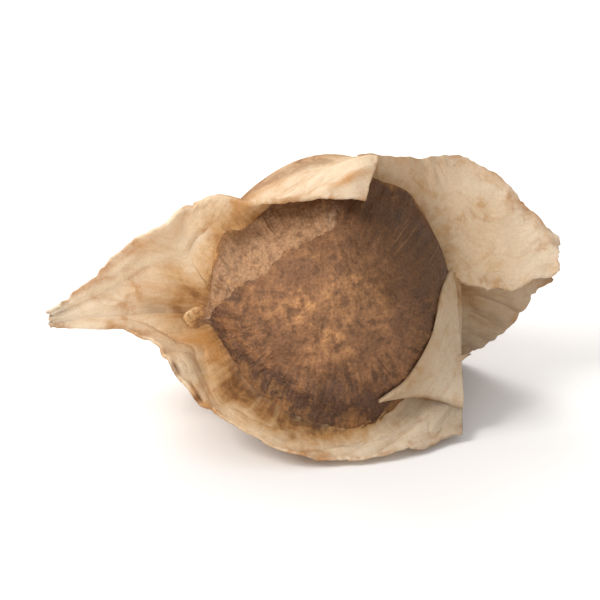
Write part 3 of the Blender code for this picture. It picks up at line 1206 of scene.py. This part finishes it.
def mix_coat():
    coat = Recipe("seed_coat_finish")
    place = coat.place()
    plan = coat.plan("face_plan")
    rays = coat.rays(plan, (0.0, 0.0, 0.0), COAT_RAYS)
    streak = coat.cloud(coat.vectors("ADD", rays, coat.scaled(place, 0.4))[0], 0.55, 4.0, 0.6)
    mottle = coat.cloud(place, 1.5, 5.0, 0.62, 0.4)
    broad = coat.cloud(place, 3.2, 2.0)
    small = coat.cloud(place, 0.4, 4.0, 0.6)
    grain = coat.cloud(place, 0.13, 3.0, 0.6)
    spread = coat.between(coat.vectors("LENGTH", plan)["Value"], 1.9, 4.2)

    colour = coat_middle(coat, plan, mottle, small, broad)
    dark_streak = coat.times(coat.between(streak, 0.52, 0.36), spread)
    dark_streak = coat.times(dark_streak, coat.between(broad, 0.40, 0.58, 0.12, 0.68))
    colour = coat.mix(dark_streak, colour, COAT_DARK)
    outward = uneven_outward(coat, place, streak)
    rim = coat.ramp(outward, HUSK_COLOURS)
    colour = coat.mix(coat.between(outward, -2.1, -0.8, 0.0, 0.95), colour, rim)
    colour = coat_worn(coat, colour, outward, small)
    # painted shadow under the lip
    colour = paint_lip_shadow(coat, colour, broad)
    pale_streak = coat.times(coat.between(streak, 0.58, 0.70), spread)
    colour = coat.mix(coat.times(pale_streak, 0.25), colour, COAT_FLECK)
    colour = coat.speckled(colour, grain, 0.76, 1.16)

    height = coat.plus(coat.times(streak, spread), mottle)
    height = coat.plus(height, coat.times(small, 0.6))
    height = coat.plus(height, coat.times(grain, 0.3))
    coat.set("Base Color", colour)
    coat.set("Normal", coat.bump(height, COAT_BUMP))
    coat.set("Roughness", coat.between(mottle, 0.3, 0.7, *COAT_ROUGHNESS))
    coat.set("Specular IOR Level", COAT_SPECULAR)
    return coat.finish


seed_body.data.materials.append(mix_coat())
print("coat mixed with", len(seed_body.active_material.node_tree.nodes), "nodes")

# %% [markdown]
# ## The paper of the wings
# Fine fibres run out from the body at the border, and along the wing further out. Creases are darker,
# pleats paler and the free edge brown, and painted shade and a painted highlight lie on some parts. Dry
# paper also lets light through, so a part of the light is passed on by a Translucent shader.

# %% Stains and marks on the paper
PAPER_STAIN = (204, 156, 100)
PAPER_PAINTED_HIGHLIGHT = (246, 232, 208)
PAPER_ORANGE = (204, 146, 80)
PAPER_SHADED = (138, 106, 72)
PAPER_PLEAT = (226, 192, 144)
PAPER_EDGE = (190, 136, 78)
PAPER_SPOT_AND_SHADOW = (128, 80, 42)


def paper_stains(paper, colour, blot, small, grain_line):
    """Brown in blots, in creases and along the grain, with orange tints and a pale painted highlight
    between.
    """
    speck = paper.between(small, 0.35, 0.65)
    stains = paper.times(paper.between(blot, 0.48, 0.68), speck)
    colour = paper.mix(paper.times(stains, 0.75), colour, PAPER_STAIN)
    tint_and_highlight = paper.number("tint_and_highlight")
    # pale painted highlight where the tint is below zero
    colour = paper.mix(paper.between(tint_and_highlight, 0.0, -0.8, 0.0, 0.75), colour, PAPER_PAINTED_HIGHLIGHT)
    orange = paper.times(paper.between(tint_and_highlight, 0.0, 0.8), paper.between(blot, 0.3, 0.6, 0.4, 0.9))
    colour = paper.mix(orange, colour, PAPER_ORANGE)
    creased = paper.times(paper.number("crease"), speck)
    colour = paper.mix(paper.times(creased, 0.35), colour, PAPER_STAIN)
    return paper.mix(paper.between(grain_line, 0.52, 0.72, 0.0, 0.35), colour, PAPER_STAIN)


def paper_marks(paper, colour, blot, small):
    """Painted shade, paler pleats, a browned free edge, dark spots and a painted shadow under the nub."""
    # painted shade, on the back wing partly a brown stain
    colour = paper.mix(paper.times(paper.number("painted_shade_and_stain"), 0.75), colour, PAPER_SHADED)
    colour = paper.mix(paper.times(paper.number("pleat"), 0.55), colour, PAPER_PLEAT)
    edge = paper.times(paper.number("edge"), paper.between(blot, 0.44, 0.60, 0.0, 0.7))
    colour = paper.mix(edge, colour, PAPER_EDGE)
    # dark spots, and the painted shadow under the nub
    spot_and_shadow = paper.times(paper.number("spot_and_shadow"), paper.between(small, 0.35, 0.55, 0.5, 1.0))
    return paper.mix(spot_and_shadow, colour, PAPER_SPOT_AND_SHADOW)


print("paper stains", PAPER_STAIN)

# %% The paper's finish
PAPER_RAYS = 6.0
GRAIN_LENGTH = (0.16, 1.0, 1.0)
LIGHT_THROUGH = 0.35
PAPER_BUMP = 0.09
PAPER_ROUGHNESS = 0.5
PAPER_SPECULAR = 0.3


def mix_paper():
    paper = Recipe("wing_paper")
    place = paper.place()
    lengthwise = paper.vectors("MULTIPLY", paper.plan("sheet_plan"), GRAIN_LENGTH)[0]
    body_middle = tuple(BODY_CENTRE + SEED_SHIFT)
    fibre = paper.cloud(paper.rays(place, body_middle, PAPER_RAYS), 0.24, 4.0, 0.6)
    grain_line = paper.cloud(lengthwise, 0.26, 4.0, 0.6, 0.4)
    blot = paper.cloud(place, 1.7, 4.0, 0.6, 0.5)
    small = paper.cloud(place, 0.45, 4.0, 0.6)
    grain = paper.cloud(place, 0.09, 2.0)

    colour = paper.ramp(uneven_outward(paper, place, fibre), HUSK_COLOURS)
    colour = paper_stains(paper, colour, blot, small, grain_line)
    colour = paper_marks(paper, colour, blot, small)
    colour = paper.speckled(colour, grain, 0.94, 1.03)

    height = paper.plus(paper.times(fibre, 0.3), paper.times(small, 0.7))
    height = paper.plus(height, paper.times(grain_line, 0.5))
    normal = paper.bump(height, PAPER_BUMP)
    paper.set("Base Color", colour)
    paper.set("Normal", normal)
    paper.set("Roughness", PAPER_ROUGHNESS)
    paper.set("Specular IOR Level", PAPER_SPECULAR)
    through = paper.add("BsdfTranslucent", {"Color": colour, "Normal": normal})
    both = paper.add("MixShader", {0: LIGHT_THROUGH, 1: paper.shader.outputs[0], 2: through.outputs[0]})
    paper.feed(paper.tree.nodes["Material Output"].inputs["Surface"], both.outputs[0])
    return paper.finish


wing_paper = mix_paper()
for wing in wings:
    wing.data.materials.append(wing_paper)
print("paper mixed with", len(wing_paper.node_tree.nodes), "nodes")

# %% [markdown]
# ## Hand over
# The body and the five sheets stand for the one solid seed. They ride on the model's only body, and the
# solid is hidden.

# %% Hand over
for piece in (seed_body, *wings):
    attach(piece, "root")
    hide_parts("moringa_seed")
